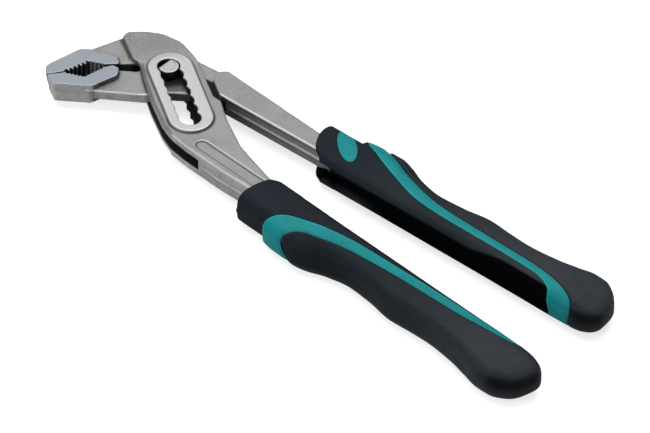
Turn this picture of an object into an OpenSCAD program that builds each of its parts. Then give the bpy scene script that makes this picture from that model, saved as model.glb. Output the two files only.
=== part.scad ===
// Tongue and groove pliers, box joint, slotted adjustment with a D-shaped pivot pin.
// Origin: on the pivot pin's axis, at the pin's lower end face, which lies flush with the boss.
// X points from the jaws towards the handles, Y towards the upper jaw, Z up through the pin.
// The modules draw the parts about the tool's middle plane; placed() lifts them onto the origin.
// Front means towards the jaws. All sizes are in millimetres.

/* [Joint] */
// Thickness of the box over its two plates
box_thick = 9.6; // [9:0.1:11]
// Height the ground oval boss stands above each plate
boss_height = 1.0; // [0.6:0.1:1.4]
// Radius of each end of the oval boss
boss_radius = 8.3; // [7.8:0.1:8.8]
// Thickness of the tongue that passes between the plates
tongue_thick = 4.0; // [3.6:0.1:4.4]
// Gap left on each side of the tongue
tongue_gap = 0.10; // [0.05:0.05:0.2]

/* [Pin and groove] */
// Radius of the pivot pin
pin_radius = 3.8; // [3.4:0.1:4.0]
// Distance from the pin's axis to its flat
pin_flat = 1.9; // [1.6:0.1:2.4]
// Direction the pin's flat faces, in degrees
flat_dir = 138; // [120:1:160]
// Running clearance of the pin in the tongue's bore
pin_play = 0.05; // [0.03:0.01:0.09]
// Radius of each notch in the groove
notch_radius = 4.15; // [4.1:0.05:4.3]
// Number of adjustment notches
notches = 7; // [5:1:7]
// Distance between two notches
notch_pitch = 5.0; // [4.8:0.1:5]
// Direction the groove runs from the first notch, in degrees
groove_dir = -75.1; // [-76:0.1:-74]

/* [Forgings] */
// Thickness of both jaws over their ground faces
jaw_thick = 8.2; // [8:0.1:9]
// Thickness of the upper jaw's neck
neck_thick = 6.4; // [5.6:0.2:7.2]
// Thickness of the inner half's shank
shank_thick = 8.4; // [7.8:0.1:9]
// Thickness of the tangs inside the grips
tang_thick = 7.0; // [6:0.2:8]
// Distance from each grip's collar to the end of its tang
tang_length = 96; // [70:1:110]
// Depth of the long panel pressed into the lower shank
panel_depth = 0.5; // [0.3:0.1:0.8]

/* [Jaw teeth] */
// Depth of the teeth in the upper jaw
tooth_upper = 1.3; // [0.6:0.1:1.4]
// Depth of the teeth in the lower jaw
tooth_lower = 0.6; // [0.4:0.1:1]

/* [Grips] */
// Half thickness of the grips
grip_half = 7.0; // [6.6:0.1:7.6]
// Squareness of the grips' section, 2 is an ellipse
grip_square = 3.6; // [2.6:0.2:5]
// How far the grips' rounded ends lean, longer on the inner side, per millimetre of width
end_lean = 0.16; // [0:0.02:0.24]
// Half thickness of the hard core inside each grip
core_half = 5.1; // [4.8:0.1:5.4]
// Angle of the outer half's grip in plan, in degrees
lower_grip_angle = -46.9; // [-47:0.1:-46]
// Angle of the inner half's grip in plan, in degrees
upper_grip_angle = -41.7; // [-42:0.1:-41]
// How much longer the outer half's grip is at its rounded end than the common drawing
lower_grip_tip = 1.6; // [-2:0.1:2]
// How much longer the inner half's grip is at its rounded end than the common drawing
upper_grip_tip = -1.8; // [-2:0.1:2]

/* [Hidden] */
$fn = 96;
steel = [0.62, 0.62, 0.62];
ground = [0.75, 0.76, 0.79];
teal = [0.10, 0.56, 0.54];
black = [0.13, 0.14, 0.16];

cut = 20;                                // size of the cutting solids, well beyond the parts
half_box = box_thick / 2;
half_gap = tongue_thick / 2 + tongue_gap;
half_pin = half_box + boss_height;
travel = notch_pitch * (notches - 1);
boss_inset = 0.5;                        // end centres of the boss, inside the outermost notches
boss_shift = 0.5;                        // boss off the groove's line, towards the handles
groove_sides = [-3.75, 2.45];            // the straight slot's sides, across the groove
lower_grip_at = [31.2, -66.5];
upper_grip_at = [52.7, -39.3];
lower_collar_sweep = 3.4;
upper_collar_sweep = 8.5;

// ---- plane geometry
function unit(v) = v / norm(v);
function heading(v) = atan2(v.y, v.x);
function polar(radius, angle) = radius * [cos(angle), sin(angle)];
function arc(radius, start, end, steps = 8) =
    [for (i = [0:steps]) polar(radius, start + (end - start) * i / steps)];
function backwards(points) = [for (i = [len(points) - 1:-1:0]) points[i]];

// a point along the groove from the first notch, and across it towards the handles
function groove_point(along, across = 0) =
    along * polar(1, groove_dir) + across * [-sin(groove_dir), cos(groove_dir)];

// the arc that rounds a corner
function bend(before, corner, after, radius) =
    let (back = unit(before - corner), ahead = unit(after - corner),
         half = acos(max(-1, min(1, back * ahead))) / 2,
         middle = corner + unit(back + ahead) * radius / sin(half),
         start = heading(corner + back * radius / tan(half) - middle),
         end = heading(corner + ahead * radius / tan(half) - middle),
         turn = (end - start + 540) % 360 - 180,
         steps = max(2, ceil(abs(turn) / 9)))
    [for (i = [0:steps]) middle + polar(radius, start + turn * i / steps)];

// a list of [x, y, corner radius] becomes a smooth polygon
function xy(p) = [p[0], p[1]];
function outline(corners) = let (n = len(corners))
    [for (i = [0:n - 1]) let (p = corners[i])
        each (p[2] <= 0 ? [xy(p)]
            : bend(xy(corners[(i + n - 1) % n]), xy(p), xy(corners[(i + 1) % n]), p[2]))];

// a row of teeth, each depth deep towards the left of the line, with corners proud of it
function teeth(from, to, count, depth, proud = 0) =
    let (step = (to - from) / count, left = unit([-(to - from).y, (to - from).x]))
    [for (i = [0:count - 1]) each [
        from + step * i + left * (i > 0 ? proud : 0),
        from + step * (i + 0.35) + left * depth]];

// ---- shared building blocks
module placed() { translate([0, 0, half_pin]) children(); }
module both_faces() { for (m = [0, 1]) mirror([0, 0, m]) children(); }
module slab(thick, points) { translate([0, 0, -thick / 2]) linear_extrude(thick) polygon(points); }

// a profile run along an edge on both faces; its x is left of the edge, its y is up from base
module edge_strip(from, to, profile, base = 0, extend = 0) {
    both_faces() translate([from.x, from.y, base]) rotate([0, 0, heading(to - from)])
        rotate([90, 0, 90]) translate([0, 0, -extend])
            linear_extrude(norm(to - from) + 2 * extend) polygon(profile);
}

module grip_frame(at, angle) { translate([at.x, at.y, 0]) rotate(angle) children(); }

// a tang in its grip's frame, between its two sides low and high
module tang(low, high) {
    slab(tang_thick, outline([
        [3, low, 0], [3, high, 0],
        [tang_length, high - 1.5, 1.5], [tang_length, low + 2.0, 1.5]]));
}

// ---- the outer half: upper jaw, neck, two-plate box and lower shank, one forging
// outlines are [x, y, corner radius]

// the box and the shank down into the lower grip
box_outline = outline([
    [-16.6, 18.4, 1.5], [-14.8, 20.7, 3], [-8.2, 20.8, 9], [-2.0, 19.5, 9], [4.9, 14.7, 8],
    [10.1, 5.7, 6], [16.3, -15.6, 1.5], [19.1, -18.3, 3], [21.3, -29.0, 12],
    [24.0, -37.2, 14], [26.2, -43.6, 8], [30.0, -50.4, 12],
    [37.2, -62.6, 6], [42, -68, 0], [36, -74.5, 0], [28.4, -66.8, 4],
    [18.6, -57.6, 20], [6.0, -44.2, 10], [0.6, -37.4, 10], [-2.4, -31.0, 16],
    [-6.3, -18.0, 30], [-9.2, -5.0, 14], [-10.4, 2.9, 2], [-12.9, 5.4, 1.5]]);

// the box's front edge, [x, y], bevelled on both faces
bevel_line = [[-10.3, 2.6], [-9.1, -5.0], [-6.2, -18.0], [-2.3, -31.0], [0.4, -37.1]];
bevel_width = 1.1;
bevel_depth = 1.3;

// the step from the box down to the neck
ramp_line = [[-16.3, 17.8], [-12.9, 6.2]];
ramp_run = 1.4;

neck_outline = outline([
    [-30.5, 8, 0], [-28.6, 11.6, 1.0], [-27.2, 12.9, 2], [-17.6, 18.3, 4], [-12, 20, 0],
    [-8, 8, 0], [-10.6, 4.4, 0], [-18.0, 3.9, 1.2], [-20.5, 6, 0]]);

// the line of the teeth, [x, y], from the box forwards
upper_bite = [[-23.6, 2.9], [-28.9, 4.5], [-37.8, -0.9]];
upper_jaw_outline = concat(
    outline([
        [-43.0, -2.3, 0], [-44.4, -2.0, 0.5], [-44.7, 1.8, 1.2], [-43.2, 3.5, 1.5],
        [-32.2, 11.7, 2.5], [-28.4, 11.5, 1.5], [-24.0, 9.6, 4], [-18.6, 7.4, 1.2],
        [-17.7, 3.2, 1.0], [each upper_bite[0], 0]]),
    teeth(upper_bite[0], upper_bite[1], count = 4, depth = -tooth_upper * 0.5),
    teeth(upper_bite[1], upper_bite[2], count = 6, depth = -tooth_upper, proud = 0.9),
    [upper_bite[2]]);

// the hollow between the plates, wide enough for the tongue at every notch and opening
hollow_outline = concat(
    [[-24, 3.6], [-13.2, 4.3]],
    arc(12.4, 150, 115),
    [[14, 19.9], [60, 19.9], [60, -44.0]],
    outline([[28.5, -47.6, 0], [11.2, -49.0, 0.8], [-40, -49.0, 0]]));

// the panel in the lower shank: a round front end and a straight run
panel_at = [12.2, -43.3];
panel_angle = -46.2;
panel_radius = 2.5;
panel_length = 36;
panel_cut = 5;

module boss() {
    height = 2 * half_pin;
    length = travel - 2 * boss_inset;
    translate([0, 0, -half_pin]) {
        for (along = [boss_inset, travel - boss_inset])
            translate(groove_point(along, boss_shift)) cylinder(r = boss_radius, h = height);
        translate(groove_point(travel / 2, boss_shift)) rotate(groove_dir)
            translate([-length / 2, -boss_radius, 0]) cube([length, 2 * boss_radius, height]);
    }
}

module groove() {
    translate([0, 0, -cut]) {
        for (i = [0:notches - 1])
            translate(groove_point(i * notch_pitch)) cylinder(r = notch_radius, h = 2 * cut);
        // a straight slot joins the notches, cut shallower on the side towards the handles
        rotate(groove_dir) translate([0, groove_sides[0], 0])
            cube([travel, groove_sides[1] - groove_sides[0], 2 * cut]);
    }
}

module front_bevels() {
    for (i = [0:len(bevel_line) - 2])
        edge_strip(bevel_line[i + 1], bevel_line[i], base = half_box, extend = 0.4, profile = [
            [2, 2], [-bevel_width, 2], [-bevel_width, 0], [0, -bevel_depth], [2, -bevel_depth]]);
}

module neck_ramp() {
    edge_strip(ramp_line[0], ramp_line[1], [
        [1, 1], [1, half_box], [0, half_box],
        [-ramp_run, neck_thick / 2 - 0.1], [-ramp_run, 1]]);
}

module panel() {
    both_faces() translate([panel_at.x, panel_at.y, half_box - panel_depth]) {
        cylinder(r = panel_radius, h = panel_cut);
        rotate(panel_angle) translate([0, -panel_radius, 0])
            cube([panel_length, 2 * panel_radius, panel_cut]);
    }
}

module lower_steel() {
    slab(box_thick, box_outline);
    grip_frame(lower_grip_at, lower_grip_angle) tang(-1.8, 6.9);
}

module outer_half() {
    color(steel) difference() {
        union() {
            lower_steel();
            slab(neck_thick, neck_outline);
            slab(jaw_thick, upper_jaw_outline);
            boss();
            neck_ramp();
        }
        slab(2 * half_gap, hollow_outline);
        groove();
        panel();
        front_bevels();
    }
}

// ---- the inner half: lower jaw, tongue and upper shank, one forging
lower_bite = [[-24.0, 1.2], [-30.6, -3.7], [-37.4, -1.4]];
lower_jaw_outline = concat(
    outline([
        [each lower_bite[2], 0], [-43.0, -2.55, 0], [-44.3, -2.5, 0.5], [-42.1, -7.9, 1.0],
        [-28.2, -9.5, 2.0], [-18.6, -3.2, 1.6], [-17.9, 0.8, 1.6], [-20.3, 2.5, 1.2],
        [each lower_bite[0], 0]]),
    teeth(lower_bite[0], lower_bite[1], count = 6, depth = tooth_lower),
    teeth(lower_bite[1], lower_bite[2], count = 5, depth = tooth_lower));

tongue_outline = outline(concat(
    [[-30, -5, 0], [-27.6, -9.5, 0], [-8.8, -12.1, 8], [-0.2, -10.7, 8], [8.0, -11.4, 8],
     [22, -15.6, 0], [24, -2, 0], [18.6, 1.1, 0]],
    [for (p = arc(12.2, 52, 100)) [each p, 0]],
    [[-8.4, 7.2, 3], [-10.6, 1.3, 1.5], [-18.5, 2.1, 0], [-22, -1, 0]]));

// the shank's front shoulder runs parallel to the groove
shoulder_across = 14.2;
shank_outline = outline([
    [each groove_point(18.4, shoulder_across), 0.6],
    [each groove_point(9.2, shoulder_across), 1.0],
    [18.6, -1.2, 1.2], [21.6, -0.9, 2], [54.2, -35.0, 20],
    [64, -44.5, 0], [60.4, -50.4, 0], [53.4, -44.6, 20]]);

module upper_steel() {
    slab(shank_thick, shank_outline);
    grip_frame(upper_grip_at, upper_grip_angle) tang(-3.6, 3.6);
}

module inner_half() {
    color(steel) difference() {
        union() {
            slab(tongue_thick, tongue_outline);
            slab(jaw_thick, lower_jaw_outline);
            upper_steel();
        }
        translate([0, 0, -cut / 2]) cylinder(r = pin_radius + pin_play, h = cut);
    }
}

// ---- the pivot pin, full round in the tongue, with one flat in each plate
module pivot_pin() {
    color(ground) difference() {
        translate([0, 0, -half_pin]) cylinder(r = pin_radius, h = 2 * half_pin);
        both_faces() rotate(flat_dir)
            translate([pin_flat, -cut / 2, half_gap]) cube([cut / 2, cut, cut]);
    }
}

// ---- the grips: one drawing, used twice, the lower one turned over
// x runs from the collar to the rounded end, y from the inner to the outer side

// stations: [distance from the collar, inner side, outer side, half thickness over grip_half]
stations = [
    [0, -9.1, 9.8, -0.5], [1.5, -9.3, 10.1, 0], [16.3, -9.3, 10.0, 0],
    [17.2, -9.3, 12.3, 0], [24, -9.3, 13.1, 0.1], [32, -9.3, 13.2, 0.1],
    [38.5, -9.3, 11.5, 0], [46, -9.3, 8.4, -0.1], [57, -9.3, 6.4, -0.2],
    [68, -9.3, 7.0, -0.1], [79.5, -9.3, 8.5, 0], [90, -9.3, 7.6, 0],
    [99, -9.4, 7.1, 0], [112, -9.6, 8.1, 0.1], [121, -9.8, 9.8, 0.2],
    [129, -9.8, 11.3, 0.2], [135, -9.5, 11.1, 0],
    [139.6, -8.4, 9.4, -0.8], [143.0, -6.2, 6.6, -2.2], [144.3, -3.8, 3.6, -4.2]];
ring_count = 24;
lean_start = 122;   // the lean and the change of length grow from here
lean_run = 20;      // over this length

function signed_pow(x, power) = sign(x) * pow(abs(x), power);
function ring(station, tip) =
    let (middle = (station[1] + station[2]) / 2,
         half_width = (station[2] - station[1]) / 2,
         share = max(0, min(1, (station[0] - lean_start) / lean_run)))
    [for (i = [0:ring_count - 1])
        let (angle = 360 * (i + 0.5) / ring_count,
             y = middle + half_width * signed_pow(cos(angle), 2 / grip_square))
        [station[0] + share * (tip - end_lean * y), y,
         (grip_half + station[3]) * signed_pow(sin(angle), 2 / grip_square)]];

module grip_body(tip) {
    last = len(stations) - 1;
    sides = [for (j = [0:last - 1], i = [0:ring_count - 1])
        let (near = j * ring_count + i, near_next = j * ring_count + (i + 1) % ring_count,
             far = near + ring_count, far_next = near_next + ring_count)
        each [[near, far_next, near_next], [near, far, far_next]]];
    ends = [[for (i = [0:ring_count - 1]) i],
            [for (i = [ring_count - 1:-1:0]) last * ring_count + i]];
    polyhedron(points = [for (station = stations) each ring(station, tip)],
               faces = concat(sides, ends), convexity = 6);
}

// edges of the bright band, [x, y], on the face with the dot and on the plain face
band_front_dot = [
    [16.4, 16], [18.0, 9.4], [23.7, 6.9], [31.4, 3.7], [42, 0], [48.5, -2], [55, -3.1],
    [65, -3.9], [80, -4.2], [98, -4.4], [109, -4.9], [114, -5.5], [118, -6.8],
    [121.2, -8.9], [122, -14]];
band_rear_dot = [
    [26, 16], [26.4, 12.6], [28.6, 10.9], [34.3, 8.5], [42, 5.3], [49.3, 2.8], [57, 1.0],
    [66, -0.1], [82, -0.8], [101, -1.3], [112, -2.0], [120, -3.3], [126, -5.0],
    [130.6, -7.4], [132.6, -9.6], [133, -14]];
band_front_plain = [
    [16.6, 16], [17.2, 11.5], [18.1, 8.8], [19.6, 6.0], [22.8, 3.6], [28.5, 1.3], [34, -0.7],
    [42.5, -2.7], [52, -4.2], [66, -5.1], [80, -6.0], [96, -6.9], [110, -7.6],
    [119, -8.4], [122.4, -9.6], [123, -14]];
band_rear_plain = [
    [27.4, 16], [27.6, 12.6], [28.4, 10.8], [30.6, 8.3], [34.2, 6.0], [39.6, 4.3], [46, 2.3],
    [53, 0.8], [61, -0.1], [72, -1.2], [90, -2.3], [105, -3.3], [119, -4.9],
    [127, -6.3], [131, -8.2], [132.8, -14]];

dot_at = [13.6, 3.0, 2];
dot_angle = -40;
dot_half = [9.4, 3.5];   // half length and half width
sleeve_outline = [
    [5.5, 5.2], [5.5, -2.6], [19.4, -2.8], [19.4, -8.0], [133, -8.0], [133, 5.2]];

// prisms over the face with the dot and over the plain face
module on_dot_face(points) { linear_extrude(cut) polygon(points); }
module on_plain_face(points) { translate([0, 0, -cut]) linear_extrude(cut) polygon(points); }

module band_space() {
    on_dot_face(concat(band_front_dot, backwards(band_rear_dot)));
    on_plain_face(concat(band_front_plain, backwards(band_rear_plain)));
}

// everything behind the band
module pad_space() {
    on_dot_face(concat(band_rear_dot, [[160, -14], [160, 20], [30, 20]]));
    on_plain_face(concat(band_rear_plain, [[160, -14], [160, 20], [33, 20]]));
}

module dot_space() {
    translate(dot_at) rotate(dot_angle) linear_extrude(cut)
        polygon([for (i = [0:23]) [dot_half.x * cos(15 * i), dot_half.y * sin(15 * i)]]);
}

module sleeve_space() { slab(2 * core_half, sleeve_outline); }

// the collar's front edge, swept back towards the inner side, and a slot in that side
module collar_cut(sweep) {
    slab(2 * cut, [
        [-5, -20], [sweep + 3.0, -20], [sweep + 1.6, -9.3], [sweep * 0.68, -5.6],
        [sweep * 0.34, -1.6], [sweep * 0.12, 2.2], [0.2, 6.0], [0.6, 9.0], [1.6, 14], [-5, 14]]);
    translate([-2, -20, -4.5]) cube([20.4, 16.4, 9]);
}

// the sleeve round the tang, with the band and the dot that show on the surface
module core_shape(tip) {
    sleeve_space();
    intersection() {
        grip_body(tip);
        union() {
            band_space();
            dot_space();
        }
    }
}

module cover_shape(sweep, tip) {
    difference() {
        grip_body(tip);
        band_space();
        pad_space();
        dot_space();
        sleeve_space();
        collar_cut(sweep);
    }
}

module pad_shape(tip) {
    difference() {
        intersection() {
            grip_body(tip);
            pad_space();
        }
        sleeve_space();
    }
}

module at_lower_grip() {
    grip_frame(lower_grip_at, lower_grip_angle) rotate([180, 0, 0]) children();
}
module at_upper_grip() { grip_frame(upper_grip_at, upper_grip_angle) children(); }

module lower_grip_core() {
    color(teal) difference() {
        at_lower_grip() core_shape(lower_grip_tip);
        lower_steel();
    }
}
module lower_grip_cover() {
    color(black) difference() {
        at_lower_grip() cover_shape(lower_collar_sweep, lower_grip_tip);
        lower_steel();
    }
}
module lower_grip_pad() { color(black) at_lower_grip() pad_shape(lower_grip_tip); }

module upper_grip_core() {
    color(teal) difference() {
        at_upper_grip() core_shape(upper_grip_tip);
        upper_steel();
    }
}
module upper_grip_cover() {
    color(black) difference() {
        at_upper_grip() cover_shape(upper_collar_sweep, upper_grip_tip);
        upper_steel();
    }
}
module upper_grip_pad() { color(black) at_upper_grip() pad_shape(upper_grip_tip); }

placed() outer_half();
placed() inner_half();
placed() pivot_pin();
placed() lower_grip_core();
placed() lower_grip_cover();
placed() lower_grip_pad();
placed() upper_grip_core();
placed() upper_grip_cover();
placed() upper_grip_pad();
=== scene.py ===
"""Pliers lying flat: two forged halves on a pivot pin, with two-colour grips.

The pin stands at the origin, the jaws reach towards -x and the handles towards +x and -y.
The outer half has the jaw on the +y side and the lower grip; the inner half has the other
jaw and the upper grip. Meshes are shaped in millimetres and turned to metres in add_piece.
"""
import math
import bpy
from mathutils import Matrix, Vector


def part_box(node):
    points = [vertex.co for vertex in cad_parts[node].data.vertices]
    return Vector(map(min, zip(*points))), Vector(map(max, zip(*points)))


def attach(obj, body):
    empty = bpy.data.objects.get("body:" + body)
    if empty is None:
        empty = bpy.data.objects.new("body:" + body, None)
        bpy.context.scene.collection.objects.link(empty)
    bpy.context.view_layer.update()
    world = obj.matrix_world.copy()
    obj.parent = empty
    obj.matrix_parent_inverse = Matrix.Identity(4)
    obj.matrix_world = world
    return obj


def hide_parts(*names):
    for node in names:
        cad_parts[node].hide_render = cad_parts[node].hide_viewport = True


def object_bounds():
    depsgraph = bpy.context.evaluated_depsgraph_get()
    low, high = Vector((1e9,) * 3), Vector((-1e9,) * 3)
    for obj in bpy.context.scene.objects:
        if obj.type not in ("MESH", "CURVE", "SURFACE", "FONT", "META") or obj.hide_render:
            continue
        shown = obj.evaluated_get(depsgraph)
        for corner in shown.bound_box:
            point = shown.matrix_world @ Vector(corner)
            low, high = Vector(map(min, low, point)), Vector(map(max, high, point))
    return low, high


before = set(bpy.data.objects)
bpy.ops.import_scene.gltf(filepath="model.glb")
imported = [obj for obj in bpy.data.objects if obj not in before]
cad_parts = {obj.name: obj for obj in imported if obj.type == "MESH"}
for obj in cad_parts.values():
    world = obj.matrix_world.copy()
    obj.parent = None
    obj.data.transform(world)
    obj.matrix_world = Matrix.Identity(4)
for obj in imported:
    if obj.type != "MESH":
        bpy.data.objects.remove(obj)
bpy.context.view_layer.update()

from types import SimpleNamespace

import bmesh
import bpy
import numpy as np
from mathutils import Matrix, Vector, noise

SCENE = bpy.context.scene
HALF_MM = 500.0  # metres to half the length in mm
MID_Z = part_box("pivot_pin")[1].z * HALF_MM  # the tool's middle plane, mm
VOXEL = 0.26


def direction(degrees):
    return np.array([math.cos(math.radians(degrees)), math.sin(math.radians(degrees))])


# ------------------------------------------------------------------ lines and places, mm
SLOT_AXIS = direction(-75.1)  # along the adjusting slot
SLOT_SIDE = np.array([-SLOT_AXIS[1], SLOT_AXIS[0]])
PANEL_AXIS = direction(-46.2)  # along the pressed panel on the outer shank
PANEL_SIDE = np.array([-PANEL_AXIS[1], PANEL_AXIS[0]])
PANEL_START, PANEL_LENGTH, PANEL_RADIUS = [12.2, -43.3], 36, 2.5

# Lines in plan: x, y
UPPER_MOUTH = [[-46, -2.4], [-43.0, -2.4], [-37.8, -0.9], [-29.2, 4.3], [-23.6, 2.9], [-15, 3.4]]
LOWER_MOUTH = [[-46, -2.5], [-43.0, -2.55], [-37.4, -1.4], [-30.6, -3.7], [-24.0, 1.2],
               [-15, 2.4]]
OUTER_BEVEL = [[-10.9, 3.6], [-10.3, 2.6], [-9.1, -5.0], [-6.2, -18.0], [-2.3, -31.0]]
OUTER_HEEL = [[-21.0, 8.6], [-18.6, 7.4], [-17.7, 3.2]]
OUTER_FOOT = [[-6.2, -18.0], [-2.4, -31.0], [0.6, -37.4], [6.0, -44.2], [18.6, -57.6],
              [28.4, -66.8], [36, -74.5]]
OUTER_STEP = [[-16.8, 18.4], [-13.2, 6.6], [-11.6, 4.6]]
OUTER_RIM = [[16.3, -15.6], [19.1, -18.3], [21.3, -29.0], [24.0, -37.2], [26.2, -43.6],
             [30.0, -50.4], [37.2, -62.6]]
INNER_HEEL = [[-28.2, -9.5], [-18.6, -3.2], [-17.9, 0.8]]
INNER_UNDER = [[-30, -9.2], [-27.6, -9.5], [-12.0, -11.7], [-6.0, -11.6], [-0.2, -10.8],
               [8.0, -11.4]]
INNER_SHANK = [[18.45, -14.13], [53.4, -44.6], [60.4, -50.4]]

# Round spots, rust stains and one painted shade patch: strength, x, y, radius
OUTER_RUST = [(0.9, -15.5, 17.0, 4.0), (0.8, -26.5, 13.2, 3.5), (0.5, -13.0, 8.0, 5.0),
              (0.35, 6, -48, 10)]
INNER_RUST = [(0.9, -24.0, -7.0, 4.5), (0.42, 27, -15, 8), (0.3, 42, -28, 9)]
# a painted shade patch on the arch's top face
OUTER_SHADE_PATCH = [(0.22, -4, 13, 9)]

# Each grip's frame has x along it from its collar, y across and z up; flip -1 turns it over
# about x. sweep slants the collar's edge, tip lengthens the end, dot is an oval's half length.
LOWER_GRIP = dict(name="lower", body="outer", at=(31.2, -66.5), angle=-46.9, flip=-1.0,
                  sweep=3.4, tip=1.6, dot=8.6)
UPPER_GRIP = dict(name="upper", body="inner", at=(52.7, -39.3), angle=-41.7, flip=1.0,
                  sweep=8.5, tip=-1.8, dot=9.4)


# ------------------------------------------------------------------ mesh helpers
def add_piece(name, mesh, body, slot, replaced):
    mesh.transform(Matrix.Scale(0.001, 4))
    piece = bpy.data.objects.new(name, mesh)
    SCENE.collection.objects.link(piece)
    mesh.materials.append(MATERIALS[slot])
    mesh.shade_smooth()
    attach(piece, body)
    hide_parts(replaced)


def cad_copy(node):
    """A CAD node's mesh in millimetres with its split corners joined."""
    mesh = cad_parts[node].data.copy()
    mesh.transform(Matrix.Scale(1000, 4))
    work = bmesh.new()
    work.from_mesh(mesh)
    bmesh.ops.remove_doubles(work, verts=work.verts, dist=2e-4)
    work.to_mesh(mesh)
    work.free()
    mesh.materials.clear()
    return mesh


def voxelled(mesh):
    holder = bpy.data.objects.new("tmp_voxel", mesh)
    SCENE.collection.objects.link(holder)
    remesh = holder.modifiers.new("v", "REMESH")
    remesh.mode = "VOXEL"
    remesh.voxel_size = VOXEL
    remesh.adaptivity = 0
    graph = bpy.context.evaluated_depsgraph_get()
    result = bpy.data.meshes.new_from_object(holder.evaluated_get(graph))
    bpy.data.objects.remove(holder)
    return result


def read_vectors(items, key):
    values = np.empty(len(items) * 3, np.float32)
    items.foreach_get(key, values)
    return values.reshape(-1, 3).astype(float)


def get_points(mesh):
    return read_vectors(mesh.vertices, "co")


def get_normals(mesh):
    return read_vectors(mesh.vertex_normals, "vector")


def set_points(mesh, points):
    mesh.vertices.foreach_set("co", points.astype(np.float32).ravel())
    mesh.update()


def get_edges(mesh):
    edges = np.empty(len(mesh.edges) * 2, np.int32)
    mesh.edges.foreach_get("vertices", edges)
    return edges.reshape(-1, 2)


def add_attributes(mesh, **values):
    for name, numbers in values.items():
        layer = mesh.attributes.new(name, "FLOAT", "POINT")
        layer.data.foreach_set("value", np.asarray(numbers, np.float32))


def neighbour_mean(values, edges):
    count = len(values)
    values = values.reshape(count, -1)
    degree = np.bincount(edges.ravel(), minlength=count)[:, None]
    first, second = edges.T
    total = np.stack([np.bincount(first, column[second], count)
                      + np.bincount(second, column[first], count) for column in values.T], 1)
    return total / np.maximum(degree, 1)


def wobble(points, wave, seed):
    """Smooth noise in [-1, 1] at each point, wave in mm."""
    scale = 1.0 / wave
    shift = Vector((seed * 13.7, seed * 5.1, seed * 9.3))
    return np.array([noise.noise(Vector(p) * scale + shift) for p in points.tolist()])


def fade(value, start, end):
    """Smooth step: 0 at start, 1 at end; end may lie below start."""
    t = np.clip((value - start) / (end - start), 0, 1)
    return t * t * (3 - 2 * t)


def bell(value, width):
    return np.exp(-(value / width) ** 2)


def spots(plan, table):
    return sum(strength * np.exp(-(((plan[:, 0] - x) ** 2 + (plan[:, 1] - y) ** 2) / radius ** 2))
               for strength, x, y, radius in table)


def line_distance(plan, line):
    """Signed distance from points to a polyline in plan, positive on its left."""
    line = np.array(line, float)
    best = np.full(len(plan), 1e9)
    sign = np.ones(len(plan))
    for start, end in zip(line[:-1], line[1:]):
        step = end - start
        t = np.clip(((plan - start) @ step) / (step @ step), 0, 1)
        away = plan - (start + t[:, None] * step)
        gap = np.hypot(away[:, 0], away[:, 1])
        turn = step[0] * (plan[:, 1] - start[1]) - step[1] * (plan[:, 0] - start[0])
        nearer = gap < best - 1e-9
        best = np.where(nearer, gap, best)
        sign = np.where(nearer, np.where(turn >= 0, 1.0, -1.0), sign)
    return best * sign


def spline(points, steps=8):
    """A Catmull-Rom curve through the points."""
    points = np.array(points, float)
    padded = np.vstack([2 * points[0] - points[1], points, 2 * points[-1] - points[-2]])
    curve = []
    for i in range(1, len(padded) - 2):
        before, start, end, after = padded[i - 1:i + 3]
        for t in np.linspace(0, 1, steps, endpoint=False):
            curve.append(0.5 * (2 * start + (end - before) * t
                                + (2 * before - 5 * start + 4 * end - after) * t * t
                                + (3 * start - before - 3 * end + after) * t ** 3))
    curve.append(points[-1])
    return np.array(curve)


# ------------------------------------------------------------------ materials
class Net:
    """Short names for the shader nodes in use. Waves and distances are in mm."""

    def __init__(self, tree):
        self.tree = tree
        tree.nodes.clear()

    def put(self, socket, value):
        if isinstance(value, bpy.types.NodeSocket):
            self.tree.links.new(value, socket)
        elif isinstance(value, tuple) and len(value) == 3 and len(socket.default_value) == 4:
            socket.default_value = (*value, 1)
        else:
            socket.default_value = value

    def fill(self, node, inputs):
        for key, value in inputs.items():
            self.put(node.inputs[key], value)

    def node(self, kind, inputs={}, **settings):
        node = self.tree.nodes.new(kind)
        for key, value in settings.items():
            setattr(node, key, value)
        self.fill(node, inputs)
        return node

    def mapping(self, vector, scale, turn=0):
        return self.node("ShaderNodeMapping", {"Vector": vector, "Scale": scale, "Rotation": (
            0, 0, math.radians(turn))}).outputs[0]

    def noise(self, wave, detail=3, rough=0.55, vector=None):
        return self.node("ShaderNodeTexNoise", {
            "Vector": vector or self.mm, "Scale": 1.0 / wave, "Detail": detail,
            "Roughness": rough}).outputs[0]

    def streaks(self, scale, turn, wave=1.0, detail=4, rough=0.7):
        """Noise stretched by scale along axes turned about z."""
        return self.noise(wave, detail, rough, self.mapping(self.mm, scale, turn))

    def cells(self, wave):
        return self.node("ShaderNodeTexVoronoi", {
            "Vector": self.mm, "Scale": 1.0 / wave}).outputs["Distance"]

    def ramp(self, value, span, to=(0.0, 1.0)):
        return self.node("ShaderNodeMapRange", {
            "Value": value, "From Min": span[0], "From Max": span[1], "To Min": to[0],
            "To Max": to[1]}, interpolation_type="SMOOTHSTEP").outputs[0]

    def math(self, operation, first, second):
        return self.node("ShaderNodeMath", {0: first, 1: second}, operation=operation).outputs[0]

    def times(self, value, gain):
        return self.math("MULTIPLY", value, gain)

    def blend(self, amount, low, high):
        return self.node("ShaderNodeMix", {0: amount, 6: low, 7: high}, data_type="RGBA").outputs[2]

    def attr(self, name, gain=None):
        value = self.node("ShaderNodeAttribute", attribute_name=name).outputs["Fac"]
        return value if gain is None else self.times(value, gain)

    def openness(self, distance, span):
        """1 in the open, 0 deep in a gap."""
        shade = self.node("ShaderNodeAmbientOcclusion", {"Distance": distance * 0.001}, samples=8)
        return self.ramp(shade.outputs["AO"], span)

    def bump(self, height, distance, strength, under=None):
        inputs = {"Height": height, "Distance": distance * 0.001, "Strength": strength}
        if under is not None:
            inputs["Normal"] = under
        return self.node("ShaderNodeBump", inputs).outputs[0]


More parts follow.
